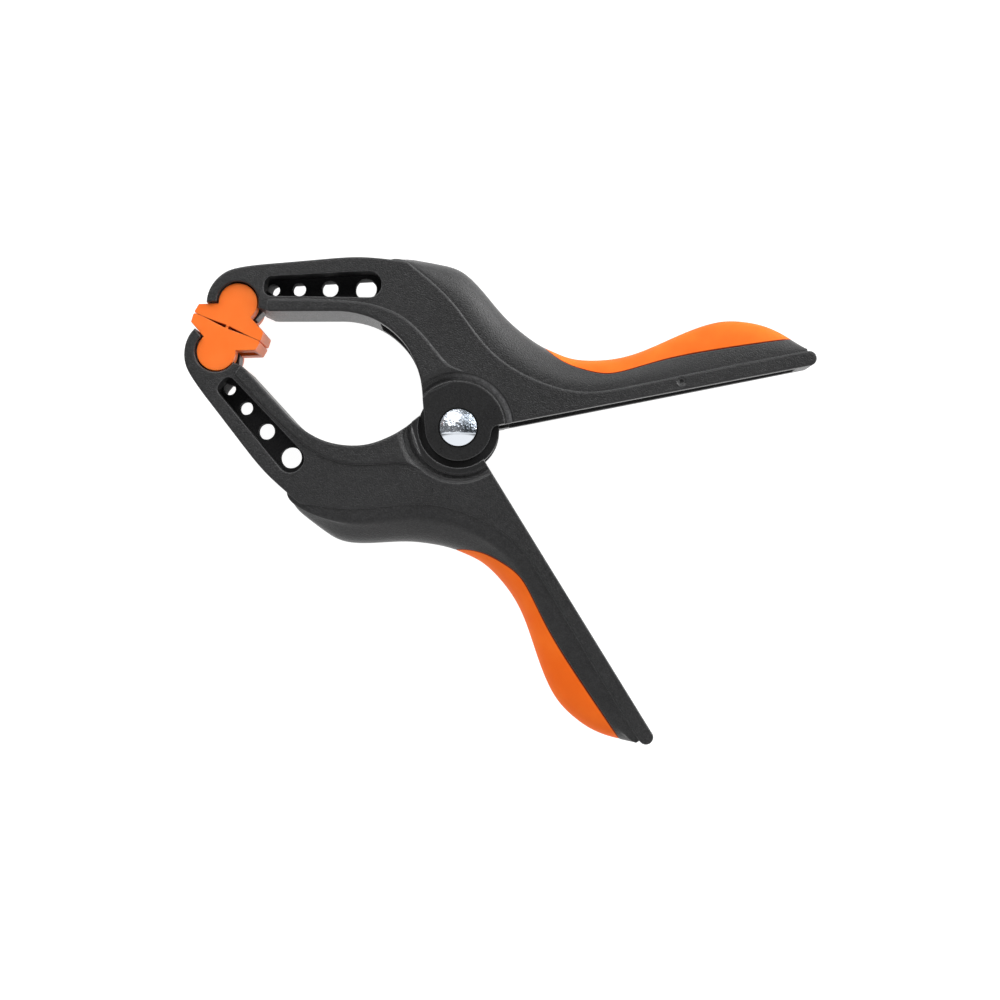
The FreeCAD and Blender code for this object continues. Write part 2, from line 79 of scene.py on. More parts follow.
# The clamp lies flat: the rivet stands along Z, and the arms open in the XY plane.
# Tables are millimetres from the rivet's axis for the arm that lies towards +Y. Those of the handle
# are places back from its end and heights across it.
MM = 0.001
HANDLE_TURN = math.radians(34.7)
HANDLE_LENGTH = 91.5
PANEL_HALF = 8.6
TIP_HALF = 5.8
TAPER_START = 18.0
BACK_DROP = 0.5
LEDGE_WIDTH = 0.4
LEDGE_SHARE = 0.3
SHOULDER_STATIONS = (
    ((-25.3, 32.45), (-26.7, 36.05)),
    ((-20.3, 31.0), (-21.3, 37.45)),
    ((-15.6, 29.2), (-16.2, 38.0)),
    ((-10.5, 26.6), (-8.2, 35.2)),
    ((-5.0, 23.4), (-1.2, 31.75)),
    ((1.0, 20.7), (4.6, 29.75)),
    ((7.3, 19.3), (10.0, 28.6)),
    ((13.5, 19.0), (15.0, 28.3)),
    ((20.0, 19.6), (19.8, 28.75)),
)
HANDLE_STATIONS = (
    ((58.7, 2.9), (54.2, 11.1)),
    ((51.9, 2.1), (48.3, 10.45)),
    ((45.5, 2.1), (43.0, 10.75)),
    ((38.5, 2.2), (37.0, 11.9)),
    ((31.5, 2.3), (31.0, 13.3)),
    ((25.0, 2.4), (25.0, 14.4)),
    ((19.0, 2.5), (19.0, 14.6)),
    ((13.5, 2.5), (13.5, 13.35)),
    ((9.0, 2.5), (9.0, 11.4)),
    ((5.5, 2.5), (5.5, 9.0)),
    ((2.5, 2.5), (2.5, 6.2)),
    ((0.2, 2.5), (0.2, 3.7)),
)
GATE_PLACE = (33.6, 0.9)
RECESS_CORNERS = ((-60.35, 15.6), (-59.0, 10.75), (-31.1, 22.5), (-34.1, 28.9))
GRIP_EDGE_START = ((9.5, 29.6), (13.8, 27.4), (18.2, 26.4), (23.5, 26.6), (29.0, 27.9))
GRIP_EDGE_END = ((46.0, 6.35), (37.6, 7.1), (22.9, 7.15), (10.6, 6.7), (0.5, 6.4))

# Fineness of the grip's and the spring's meshes.
EDGE_STEPS = 600
SECTION_STEPS = 1500
SKIN_ROWS = 220
SKIN_COLUMNS = 61
TURN_STEPS = 64
LEG_STEPS = 24
WIRE_SIDES = 20
MERGE_DISTANCE = 2e-6

# Sizes of the noises in the finishes, in metres.
FLOW_SIZE = 0.018
RUB_SIZE = 0.0035
STREAK_SIZE = 0.0011
CLOUD_SIZE = 0.009
DUST_SIZE = 0.0011
SCUFF_SIZE = 0.0022
MOTTLE_SIZE = 0.05

# The values of each noise between which it goes, as a smooth step, from 0 to 1.
GRAIN_SPAN = (0.42, 0.62)
PIT_SPAN = (0.1, 0.6)
FLOW_SPAN = (0.35, 0.7)
RUB_SPAN = (0.52, 0.78)
STREAK_SPAN = (0.35, 0.7)
CLOUD_SPAN = (0.3, 0.75)
DUST_SPAN = (0.0, 0.12)
SCUFF_SPAN = (0.55, 0.8)
SPOT_SPAN = (0.42, 0.56)
SCAR_SPAN = (0.5, 0.6)

# The same for edges, which are paler partly as wear and partly as a painted highlight, as 1 less the
# dot product of the true normal and the rounded one, for the painted highlight band round the hub, as
# the cosine of the angle from its middle, and for the arm's face, as a share of the panels' half depth.
EDGE_SPAN = (0.004, 0.09)
HIGHLIGHT_SPAN = (0.35, 0.95)
FACE_SPAN = (0.8, 0.85)

# How much each noise and mark changes a colour, from 0 to 1.
GRAIN_PALE = 0.45
FLOW_PALE = 0.2
STREAK_PALE = 0.25
# The edges' cover is partly wear and partly a painted highlight.
EDGE_COVER = 0.5
HUB_COVER = 0.6
# The band's cover and streaks are a painted highlight.
HIGHLIGHT_COVER = 0.55
HIGHLIGHT_STREAKS = 0.4
CLOUD_PALE = 0.5
SKIN_GRAIN_PALE = 0.2
SCUFF_COVER = 0.5
SPOT_COVER = 0.75

# How much each noise and mark changes the roughness.
GRAIN_ROUGHNESS = 0.3
RECESS_ROUGHNESS = 0.4
SEAT_POLISH = 0.3
WEAR_POLISH = 0.08
CLOUD_ROUGHNESS = 0.12
SKIN_GRAIN_ROUGHNESS = 0.1
DUST_POLISH = 0.05
SCUFF_ROUGHNESS = 0.12
DENT_ROUGHNESS = 0.05
SPOT_ROUGHNESS = 0.15
FLOOR_ROUGHNESS = 0.75
MOTTLE_ROUGHNESS = 0.1

# The pits' part in the grain, and their spacing in sizes of the grain.
PIT_SHARE = 0.3
PIT_SPACING = 1.3

# How much smoother the hub is, its part of the polish that worn edges have, and how much of the dents
# the smooth crescent on the rivet keeps.
HUB_SMOOTHING = 0.6
HUB_WEAR = 0.5
CRESCENT_DENTS = 0.015

# Sizes of the rivet's spots and scars, in sizes of its dents.
SPOT_SIZE = 0.9
SCAR_SIZE = 0.8

# The part of the gate dish's radius that slopes, of the painted highlight band's half width that is
# fully lit, and of the painted shade along the skin's edge that is fully dark.
GATE_SLOPE = 0.4
HIGHLIGHT_CORE = 0.5
EDGE_SHADE_CORE = 0.4

# Rays that find the rounded normal near an edge.
EDGE_SAMPLES = 6

# How light bends in the plastics, and how it spreads in the orange ones: strength, depth in metres
# and tint.
PLASTIC_IOR = 1.5
SKIN_IOR = 1.48
SKIN_SPREAD = 0.12
SKIN_SPREAD_DEPTH = 0.002
SKIN_SPREAD_TINT = (1.0, 0.35, 0.12)

# The camera, in metres, degrees and millimetres. It looks straight down but for a slight tilt and roll,
# and is turned about Z, so that the clamp lies aslant in the picture.
CAMERA_PLACE = (0.087007, -0.030156, 0.425264)
CAMERA_TILT = 2.544
CAMERA_ROLL = -0.2344
CAMERA_TURN = 23.6647
LENS_LENGTH = 59.54
SENSOR_WIDTH = 36.0
FLOOR_DROP = 0.0002

# Lights of the tent: name, turn from the picture's right and rise above the floor in degrees, and
# softness of the edge. Each one's start and light are in the stage's look.
LIGHTS = (
    ("upper", 90.0, 0.0, 0.2),
    ("lower", -90.0, 0.0, 0.15),
    ("high", 118.0, 34.0, 0.03),
    ("low", 28.0, 0.0, 0.09),
    ("side", 54.0, 40.0, 0.05),
)


def towards(turn, rise):
    """Unit vector at a turn in degrees from the picture's right and a rise in degrees above the floor."""
    level = math.radians(turn + CAMERA_TURN)
    rise = math.radians(rise)
    return (math.cos(level) * math.cos(rise), math.sin(level) * math.cos(rise), math.sin(rise))


class Signal:
    """A value carried by a socket; arithmetic on it adds Math nodes."""

    def __init__(self, wiring, socket):
        self.wiring = wiring
        self.socket = socket

    def math(self, operation, first, second=0.0):
        """A Math node on two values."""
        return self.wiring.node("ShaderNodeMath", {"operation": operation}, {0: first, 1: second})

    def __add__(self, other):
        return self.math("ADD", self, other)

    def __radd__(self, other):
        return self.math("ADD", other, self)

    def __sub__(self, other):
        return self.math("SUBTRACT", self, other)

    def __rsub__(self, other):
        return self.math("SUBTRACT", other, self)

    def __mul__(self, other):
        return self.math("MULTIPLY", self, other)

    def __truediv__(self, other):
        return self.math("DIVIDE", self, other)

    def __pow__(self, other):
        return self.math("POWER", self, other)

    def size(self):
        """The value without its sign."""
        return self.math("ABSOLUTE", self)

    def above(self, low, high):
        """0 below low, 1 above high, and smooth between."""
        settings = {"interpolation_type": "SMOOTHSTEP"}
        values = {"Value": self, "From Min": low, "From Max": high}
        return self.wiring.node("ShaderNodeMapRange", settings, values)


class Wiring:
    """A node tree while it is being wired."""

    def __init__(self, tree):
        self.tree = tree
        tree.nodes.clear()

    def feed(self, target, value):
        """Links a signal to a socket or sets the socket to a number, vector or colour."""
        if isinstance(value, Signal):
            self.tree.links.new(value.socket, target)
        elif hasattr(target.default_value, "__len__") and len(target.default_value) == 4:
            target.default_value = (*value[:3], 1.0)
        else:
            target.default_value = value

    def node(self, kind, settings, values, output=0):
        """Adds a node, sets it up, feeds its sockets and returns one of its outputs."""
        made = self.tree.nodes.new(kind)
        for name, value in settings.items():
            setattr(made, name, value)
        for name, value in values.items():
            self.feed(made.inputs[name], value)
        return Signal(self, made.outputs[output])

    def dot(self, first, second):
        """Dot product of two vectors."""
        settings = {"operation": "DOT_PRODUCT"}
        return self.node("ShaderNodeVectorMath", settings, {0: first, 1: second}, "Value")


class Finish(Wiring):
    """A material while it is being wired."""

    def __init__(self, name):
        self.material = bpy.data.materials.new(name)
        self.material.use_nodes = True
        super().__init__(self.material.node_tree)
        output = self.tree.nodes.new("ShaderNodeOutputMaterial")
        self.shader = self.tree.nodes.new("ShaderNodeBsdfPrincipled")
        self.tree.links.new(self.shader.outputs["BSDF"], output.inputs["Surface"])
        self.place = self.node("ShaderNodeTexCoord", {}, {}, "Object")

    def axis(self, name):
        """Place along X, Y or Z."""
        return self.node("ShaderNodeSeparateXYZ", {}, {"Vector": self.place}, name)

    def past_rivet(self, turn):
        """How far a place lies past the rivet's axis, towards a turn from the picture's right."""
        way = towards(turn, 0.0)
        return self.dot(self.place, way) - float(np.dot(RIVET_CENTRE, way))

    def noise(self, size, detail=2.0, roughness=0.5):
        """Soft noise whose features are about size metres across."""
        values = {"Vector": self.place, "Scale": 1.0 / size, "Detail": detail, "Roughness": roughness}
        return self.node("ShaderNodeTexNoise", {}, values, "Fac")

    def cells(self, size):
        """Distance to the nearest of scattered points about size metres apart."""
        values = {"Vector": self.place, "Scale": 1.0 / size}
        return self.node("ShaderNodeTexVoronoi", {}, values, "Distance")

    def mix(self, cover, first, second):
        """Goes from the first colour to the second as cover goes from 0 to 1.

        The node's colours are its inputs 6 and 7 and its output 2."""
        values = {0: cover, 6: first, 7: second}
        return self.node("ShaderNodeMix", {"data_type": "RGBA"}, values, 2)

    def surface(self, **values):
        """Feeds the surface's own sockets; underscores stand for spaces."""
        for name, value in values.items():
            self.feed(self.shader.inputs[name.replace("_", " ")], value)

    def rounded(self, radius):
        """The surface's normal, turned near edges as if they were round."""
        return self.node("ShaderNodeBevel", {"samples": EDGE_SAMPLES}, {"Radius": radius})

    def edge_mask(self, radius):
        """1 on edges and 0 on flats: there the rounded normal leaves the true one."""
        true = self.node("ShaderNodeNewGeometry", {}, {}, "Normal")
        return (1.0 - self.dot(self.rounded(radius), true)).above(*EDGE_SPAN)

    def relief(self, height, depth, softened=0.0):
        """Bumps of the given depth in metres, over edges rounded to a radius."""
        values = {"Height": height, "Distance": depth, "Strength": 1.0}
        if softened > 0:
            values["Normal"] = self.rounded(softened)
        self.surface(Normal=self.node("ShaderNodeBump", {}, values))


def disc(reach, radius, fade):
    """1 inside a circle and 0 outside, with a soft edge inside it; reach is the distance to its middle."""
    return 1.0 - reach.above(radius - fade, radius)


def ring(reach, radius, full, none):
    """1 up to one distance from a circle's line and 0 past another."""
    return 1.0 - (reach - radius).size().above(full, none)


def in_recess(plan_x, plan_y, height, look):
    """1 on the walls and floor of the jaws' recesses, where painted shade goes, and 0 elsewhere.

    It is a product over the four sides of the plan, each a step across a straight line, and of a step
    down from the arm's face."""
    inside = 1.0 - height.above(PANEL_HALF * MM - look.recess_lip, PANEL_HALF * MM)
    corners = np.array(RECESS_CORNERS) * MM
    for start, end in zip(corners, np.roll(corners, -1, axis=0)):
        along = (end - start) / np.linalg.norm(end - start)
        past = plan_y * along[0] - plan_x * along[1] - (start[1] * along[0] - start[0] * along[1])
        inside = inside * past.above(-look.recess_margin - look.recess_fade, -look.recess_margin)
    return inside


def in_gate_dish(plan_x, y, z, look):
    """1 in the dish round the moulding gate, on the face of the handle that has it, and 0 elsewhere."""
    gate_x, gate_y = from_end([GATE_PLACE])[0] * MM
    from_gate = ((plan_x - gate_x) ** 2 + (y.size() - gate_y) ** 2) ** 0.5
    gate_face = (y * z).above(0.0, MM**2)
    return disc(from_gate, look.gate_radius, look.gate_radius * GATE_SLOPE) * gate_face


def grained_plastic(name, look):
    """Moulded plastic with the fine, even pitting that spark erosion leaves in the mould.

    Its edges are paler, partly as wear and partly as a painted highlight, and one side of the hub's rim
    has a painted highlight band. It is smoother on the hub's face, has a painted shadow round the rivet's
    head, and is dull, and dark with painted shade, in the jaws' recesses."""
    finish = Finish(name)
    x, y, z = finish.axis("X") - RIVET_CENTRE[0], finish.axis("Y"), finish.axis("Z")
    reach = (x * x + y * y) ** 0.5
    on_face = (z.size() / (PANEL_HALF * MM)).above(*FACE_SPAN)
    # Painted shade: the walls and floor of the jaws' recesses are painted darker.
    recess_shade = in_recess(x, y.size(), z.size(), look)
    on_hub = disc(reach, look.hub_radius, look.hub_fade)
    # Painted shadow: a dark ring on the hub round the rivet's head.
    seat_shadow = disc(reach, look.seat_shadow_radius, look.seat_shadow_fade)
    rim = ring(reach, look.rim_radius, 0.0, look.rim_width) * on_face
    # Painted highlight: a paler band on the hub's rim, on the side that faces the light.
    band = ring(reach, look.highlight_band_radius, look.rim_width * HIGHLIGHT_CORE, look.rim_width) * on_face
    band = band * (finish.past_rivet(look.highlight_turn) / reach).above(*HIGHLIGHT_SPAN)

    grain = finish.noise(look.grain_size, detail=3.0, roughness=0.65)
    pits = finish.cells(look.grain_size * PIT_SPACING).above(*PIT_SPAN)
    flow = finish.noise(FLOW_SIZE, detail=3.0).above(*FLOW_SPAN)
    rubbed = finish.noise(RUB_SIZE, detail=5.0, roughness=0.7).above(*RUB_SPAN)
    streaks = finish.noise(STREAK_SIZE, detail=3.0, roughness=0.7).above(*STREAK_SPAN)
    # Edges are paler partly as wear and partly as a painted highlight.
    worn_and_lit = finish.edge_mask(look.edge_radius)

    pale = grain.above(*GRAIN_SPAN) * GRAIN_PALE + flow * FLOW_PALE + streaks * STREAK_PALE
    plastic = finish.mix(pale, look.colour, look.light_colour)
    coats = (
        (worn_and_lit * EDGE_COVER, look.edge_and_highlight_colour),
        (on_hub * (1.0 - worn_and_lit) * HUB_COVER, look.colour),
        (band * (HIGHLIGHT_COVER + streaks * HIGHLIGHT_STREAKS), look.edge_and_highlight_colour),
        (seat_shadow, look.seat_shadow_colour),
        (recess_shade, look.recess_shade_colour),
    )
    for cover, paint in coats:
        plastic = finish.mix(cover, plastic, paint)
    polish = (rubbed + worn_and_lit + on_hub * HUB_WEAR) * WEAR_POLISH + seat_shadow * SEAT_POLISH
    finish.surface(
        Base_Color=plastic,
        Roughness=look.roughness + (grain - 0.5) * GRAIN_ROUGHNESS + recess_shade * RECESS_ROUGHNESS - polish,
        IOR=PLASTIC_IOR,
        Specular_IOR_Level=look.gloss,
    )

    pitting = (grain * (1.0 - PIT_SHARE) + pits * PIT_SHARE) * (1.0 - on_hub * HUB_SMOOTHING)
    form = rim * look.rim_height - in_gate_dish(x, y, z, look) * look.gate_depth
    finish.relief(pitting + form * (1.0 / look.grain_depth), look.grain_depth, look.edge_radius)
    return finish.material


def soft_skin(name, look, rim=False):
    """Soft moulded skin: satin, faintly cloudy, with a very fine grain and a little light inside.

    A skin with a rim has painted shade along its edge, where its mesh says how far off the edge is."""
    finish = Finish(name)
    grain = finish.noise(look.grain_size, detail=2.0, roughness=0.6)
    cloud = finish.noise(CLOUD_SIZE, detail=4.0)
    dust = 1.0 - finish.cells(DUST_SIZE).above(*DUST_SPAN)
    pale = cloud.above(*CLOUD_SPAN) * CLOUD_PALE + grain * SKIN_GRAIN_PALE
    skin = finish.mix(pale, look.colour, look.light_colour)
    # Painted shade along the skin's edge, where it rolls off against the arm.
    if rim:
        to_edge = finish.node("ShaderNodeAttribute", {"attribute_name": "to_edge"}, {}, "Fac")
        skin = finish.mix(to_edge.above(look.rim_width * EDGE_SHADE_CORE, look.rim_width), look.edge_shade_colour, skin)
    uneven = (cloud - 0.5) * CLOUD_ROUGHNESS + (grain - 0.5) * SKIN_GRAIN_ROUGHNESS - dust * DUST_POLISH
    finish.surface(
        Base_Color=skin,
        Roughness=look.roughness + uneven,
        IOR=SKIN_IOR,
        Specular_IOR_Level=look.gloss,
        Subsurface_Weight=SKIN_SPREAD,
        Subsurface_Scale=SKIN_SPREAD_DEPTH,
        Subsurface_Radius=SKIN_SPREAD_TINT,
    )
    finish.relief(grain, look.grain_depth, look.edge_radius)
    return finish.material


def drawn_wire(name, look):
    """Spring steel: bright, with small scuffs and the fine dents of drawing and winding."""
    finish = Finish(name)
    dents = finish.noise(look.dent_size, detail=3.0, roughness=0.6)
    scuffs = finish.noise(SCUFF_SIZE, detail=6.0, roughness=0.75).above(*SCUFF_SPAN)
    finish.surface(
        Base_Color=finish.mix(scuffs * SCUFF_COVER, look.colour, look.scuff_colour),
        Metallic=1.0,
        Roughness=look.roughness + scuffs * SCUFF_ROUGHNESS + (dents - 0.5) * DENT_ROUGHNESS,
    )
    finish.relief(dents, look.dent_depth)
    return finish.material


def struck_plate(name, look):
    """Bright plate dented by the riveting tool, all but a crescent below. Its dark spots are partly tool
    marks and partly painted reflection, and its right side is painted darker as painted shade.
    """
    finish = Finish(name)
    struck = finish.past_rivet(90.0).above(look.dents_start, look.dents_full)
    # Painted shade: the plate right of the axis is painted darker, standing in for a darker reflection.
    side_shade = finish.past_rivet(0.0).above(look.side_shade_start, look.side_shade_full) * struck
    dents = finish.noise(look.dent_size, detail=2.0, roughness=0.6)
    # Dark spots, partly tool marks and partly painted reflection.
    spots = finish.noise(look.dent_size * SPOT_SIZE, detail=3.0, roughness=0.7)
    spots = spots.above(*SPOT_SPAN) * struck
    scars = finish.noise(look.dent_size * SCAR_SIZE, detail=3.0, roughness=0.75).above(*SCAR_SPAN)
    bright = finish.mix(spots * SPOT_COVER, look.colour, look.spot_colour)
    # The painted shade of the right side, with paler scars.
    dull = finish.mix(scars, look.side_shade_colour, look.spot_colour)
    finish.surface(
        Base_Color=finish.mix(side_shade, bright, dull),
        Metallic=1.0,
        Roughness=look.roughness + spots * SPOT_ROUGHNESS,
    )
    dented = CRESCENT_DENTS + struck * (1.0 - CRESCENT_DENTS)
    finish.relief(dents * dented, look.dent_depth, look.edge_radius)
    return finish.material


def floor_paint(name, look):
    """Matt studio floor, lit from below, the same all over but for a very faint mottle."""
    finish = Finish(name)
    mottle = finish.noise(MOTTLE_SIZE, detail=3.0)
    finish.surface(
        Base_Color=finish.mix(mottle, look.floor_colour, look.floor_light_colour),
        Roughness=FLOOR_ROUGHNESS + (mottle - 0.5) * MOTTLE_ROUGHNESS,
        Emission_Color=(1.0, 1.0, 1.0),
        Emission_Strength=look.floor_glow,
    )
    return finish.material


def light_tent(world, look):
    """Soft white light from all round: two broad walls and three boxes.

    A light fills a round patch of the sky: its brightness follows from the dot product of a direction
    with the way to the patch's middle, as a smooth step between two shares."""
    world.use_nodes = True
    wiring = Wiring(world.node_tree)
    direction = wiring.node("ShaderNodeTexCoord", {}, {}, "Generated")
    strength = look.room_light
    for name, turn, rise, softness in LIGHTS:
        start, light = getattr(look, name + "_start"), getattr(look, name + "_light")
        nearness = wiring.dot(direction, towards(turn, rise))
        strength = nearness.above(start, start + softness) * light + strength
    glow = wiring.node("ShaderNodeBackground", {}, {"Strength": strength}, "Background")
    output = wiring.tree.nodes.new("ShaderNodeOutputWorld")
    wiring.tree.links.new(glow.socket, output.inputs["Surface"])


def cubic(knots, values, places):
    """Natural cubic through values at knots, read at places.

    Every span is a cubic, and slope and bend run on unbroken from span to span, with no bend at the
    two ends."""
    step = np.diff(knots)
    slope = np.diff(values, axis=0) / step[:, None]
    inner = np.arange(1, len(knots) - 1)
    system = np.eye(len(knots))
    system[inner, inner - 1] = step[:-1]
    system[inner, inner] = 2 * (step[:-1] + step[1:])
    system[inner, inner + 1] = step[1:]
    load = np.zeros_like(values)
    load[inner] = 6 * np.diff(slope, axis=0)
    bend = np.linalg.solve(system, load)
    span = np.clip(np.searchsorted(knots, places) - 1, 0, len(step) - 1)
    width = step[span][:, None]
    before = (knots[span + 1][:, None] - places[:, None]) / width
    after = 1 - before
    straight = before * values[span] + after * values[span + 1]
    curved = (before**3 - before) * bend[span] + (after**3 - after) * bend[span + 1]
    return straight + curved * width**2 / 6


def run_length(points):
    """Distance along a row of points, from the first."""
    return np.concatenate([[0.0], np.cumsum(np.linalg.norm(np.diff(points, axis=0), axis=1))])


def unit(vectors):
    """Vectors of length 1 with the same directions."""
    return vectors / np.linalg.norm(vectors, axis=-1, keepdims=True)


def from_end(pairs):
    """Plan points from places back from the handle's end and heights across it: a turn by its angle."""
    place, height = HANDLE_LENGTH - np.array(pairs)[:, 0], np.array(pairs)[:, 1]
    cosine, sine = math.cos(HANDLE_TURN), math.sin(HANDLE_TURN)
    return np.stack([place * cosine - height * sine, place * sine + height * cosine], axis=1)


def back_stations():
    """Ridge point, crest point and half depth of each section of the arm's rounded back."""
    shoulder, handle = np.array(SHOULDER_STATIONS), np.array(HANDLE_STATIONS)
    ridge = np.concatenate([shoulder[:, 0], from_end(handle[:, 0])])
    crest = np.concatenate([shoulder[:, 1], from_end(handle[:, 1])])
    place = ridge @ np.array([math.cos(HANDLE_TURN), math.sin(HANDLE_TURN)])
    thinned = np.maximum(place - TAPER_START, 0) / (HANDLE_LENGTH - TAPER_START)
    half = PANEL_HALF - thinned * (PANEL_HALF - TIP_HALF) - BACK_DROP
    return ridge, crest, half


def grip_edge():
    """Plan points close together along the edge between grip and arm."""
    edge = np.concatenate([np.array(GRIP_EDGE_START), from_end(GRIP_EDGE_END)])
    run = run_length(edge)
    return cubic(run, edge, np.linspace(0, run[-1], EDGE_STEPS))


def edge_share(ledge, across):
    """Share of the way from ledge to crest at which each section crosses the grip's edge.

    The cross product of the section's direction with the way to an edge point is nearest to nothing
    at the crossing. A section that the edge passes by gets a share past the crest."""
    from_ledge = grip_edge()[None] - ledge[:, None]
    side = across[:, None, 0] * from_ledge[..., 1] - across[:, None, 1] * from_ledge[..., 0]
    near = np.argmin(np.abs(side), axis=1)
    picked = from_ledge[np.arange(len(ledge)), near]
    met = np.sum(picked * across, axis=1) / np.sum(across * across, axis=1)
    crossed = (near > 0) & (near < side.shape[1] - 1)
    past_crest = 1.5
    return np.where(crossed, met, past_crest)


def grip_sections(rows):
    """Ledge point, way to the crest, half depth and edge share of the sections under the skin, as
    columns, and how far each one is from the skin's nearer end.

    They lie closer together towards the two ends: their places go as 1 - cos over half a turn."""
    ridge, crest, half = back_stations()
    run = run_length((ridge + crest) / 2)
    fine = np.linspace(0, run[-1], SECTION_STEPS)
    table = cubic(run, np.concatenate([ridge, crest, half[:, None]], axis=1), fine)
    ridge, crest, half = table[:, 0:2], table[:, 2:4], table[:, 4]
    across = crest - ridge
    reach = np.linalg.norm(across, axis=1, keepdims=True)
    ledge = ridge + across / reach * np.minimum(LEDGE_WIDTH, reach * LEDGE_SHARE)
    across = crest - ledge
    met = edge_share(ledge, across)
    on_grip = np.nonzero(met < 1.0)[0]
    first, last = fine[on_grip[0]], fine[on_grip[-1]]
    places = first + (last - first) * (1 - np.cos(np.linspace(0, math.pi, rows))) / 2
    columns = [np.interp(places, fine, column)[:, None] for column in (*ledge.T, *across.T, half, met)]
    return columns, np.minimum(places - first, last - places)[:, None]


def grip_surface(look, rows, columns):
    """Skin of the upper handle as an outer and an inner grid of points, with distances to its edge.

    A row is the arm's section at its place: half an ellipse from ledge to crest, with the point
    ledge + (crest - ledge) cos(angle) in the plan and half depth times sin(angle) above it. The
    angle goes from one side's edge to the other's, where cos(angle) is the share of the way to the
    crest at which the section crosses the edge. The skin stands proud by a crown that fades to the
    edge, and rolls off there along a quarter of a circle. The inner grid lies straight behind it, on
    the way to the chord between the section's two edges. All is in millimetres."""
    (ledge_x, ledge_y, across_x, across_y, half, met), to_end = grip_sections(rows)
    edge_angle = np.arccos(np.clip(met, -1, 1))
    edge_angle[[0, -1]] = 0.0
    angle = np.sin(np.linspace(-1, 1, columns) * math.pi / 2)[None] * edge_angle
    cosine, sine = np.cos(angle), np.sin(angle)
    depth = np.hypot(across_x, across_y)
    out = np.stack([across_x / depth * cosine, across_y / depth * cosine, sine * depth / half], axis=2)
    out = unit(out)

    edge_round, proud, crown_fade = look.edge_round / MM, look.proud / MM, 4.0
    to_edge = np.minimum((edge_angle - np.abs(angle)) * (depth + half) / 2, to_end)
    rolled = 1 - np.clip(to_edge / edge_round, 0, 1)
    crown = proud * (1 - np.exp(-to_edge / (crown_fade * edge_round)))
    lift = crown - edge_round * (1 - np.sqrt(1 - rolled**2))
    outer = np.stack([ledge_x + across_x * cosine, ledge_y + across_y * cosine, half * sine], axis=2)
    outer += out * lift[..., None]

    smallest_room, most_inward = 0.001, 0.9
    chord = (ledge_x + across_x * met, ledge_y + across_y * met, half * sine * most_inward)
    inward = np.stack(np.broadcast_arrays(*chord), axis=2) - outer
    room = np.linalg.norm(inward, axis=2, keepdims=True)
    inner_share = np.minimum(look.thickness / MM / np.maximum(room, smallest_room), most_inward)
    return outer, outer + inward * inner_share, to_edge


def closed_mesh(name, points, faces, to_edge=None):
    """A smooth mesh in the scene from points in millimetres from the rivet's axis.

    Its doubles are merged and its faces turned outwards. Distances to the edge go with the points."""
    place = points * MM + np.array([RIVET_CENTRE[0], RIVET_CENTRE[1], 0.0])
    mesh = bpy.data.meshes.new(name)
    mesh.from_pydata(place.tolist(), [], faces.tolist())
    if to_edge is not None:
        distance = mesh.attributes.new("to_edge", "FLOAT", "POINT")
        distance.data.foreach_set("value", to_edge * MM)
    tidy = bmesh.new()
    tidy.from_mesh(mesh)
    bmesh.ops.remove_doubles(tidy, verts=tidy.verts, dist=MERGE_DISTANCE)
    bmesh.ops.dissolve_degenerate(tidy, edges=tidy.edges, dist=MERGE_DISTANCE / 2)
    bmesh.ops.recalc_face_normals(tidy, faces=tidy.faces)
    tidy.to_mesh(mesh)
    tidy.free()
    mesh.shade_smooth()
    made = bpy.data.objects.new(name, mesh)
    bpy.context.scene.collection.objects.link(made)
    return made


def closed_skin(name, outer, inner, to_edge, turned):
    """A mesh of an outer and an inner grid joined along their rims; turned lays it over about X."""
    rows, columns = outer.shape[:2]
    points = np.concatenate([outer.reshape(-1, 3), inner.reshape(-1, 3)])
    if turned:
        points = points * (1, -1, -1)
    cell = np.arange((rows - 1) * columns).reshape(rows - 1, columns)[:, :-1].ravel()
    front = np.stack([cell, cell + columns, cell + columns + 1, cell + 1], axis=1)
    shift = rows * columns
    edge = np.arange(rows - 1) * columns
    low = np.stack([edge, edge + shift, edge + columns + shift, edge + columns], axis=1)
    high = low[:, ::-1] + columns - 1
    end = np.arange(columns - 1)
    near_end = np.stack([end, end + 1, end + 1 + shift, end + shift], axis=1)
    far_end = near_end[:, ::-1] + (rows - 1) * columns
    faces = np.concatenate([front, front[:, ::-1] + shift, low, high, near_end, far_end])
    return closed_mesh(name, points, faces, np.tile(to_edge.ravel(), 2))


def wire_path(look):
    """Middle line of the spring in millimetres from the rivet's axis, with the sideways direction at
    each point and the coil's rise.

    It is a straight leg, a helix whose height falls evenly with its angle, and a straight leg. The
    helix starts where the upper handle's leg touches it and ends where the lower one's does."""
    start = HANDLE_TURN + math.pi / 2
    total = 2 * math.pi * look.turns + 2 * math.pi - 2 * start
    rise = look.pitch / MM * total / (2 * math.pi)
    radius, leg = look.coil_radius / MM, look.leg_length / MM
    angle = start + np.linspace(0, total, look.turns * TURN_STEPS)
    radial = np.stack([np.cos(angle), np.sin(angle), np.zeros_like(angle)], axis=1)
    forward = np.stack([-np.sin(angle), np.cos(angle), np.zeros_like(angle)], axis=1)
    height = rise / 2 - rise * (angle - start) / total
    coil = radial * radius + height[:, None] * (0, 0, 1)
    back = np.linspace(leg, 0, LEG_STEPS, endpoint=False)[:, None]
    path = np.concatenate([coil[0] - forward[0] * back, coil, coil[-1] + forward[-1] * back[::-1]])
    sides = [np.tile(radial[0], (LEG_STEPS, 1)), radial, np.tile(radial[-1], (LEG_STEPS, 1))]
    return path, np.concatenate(sides), rise


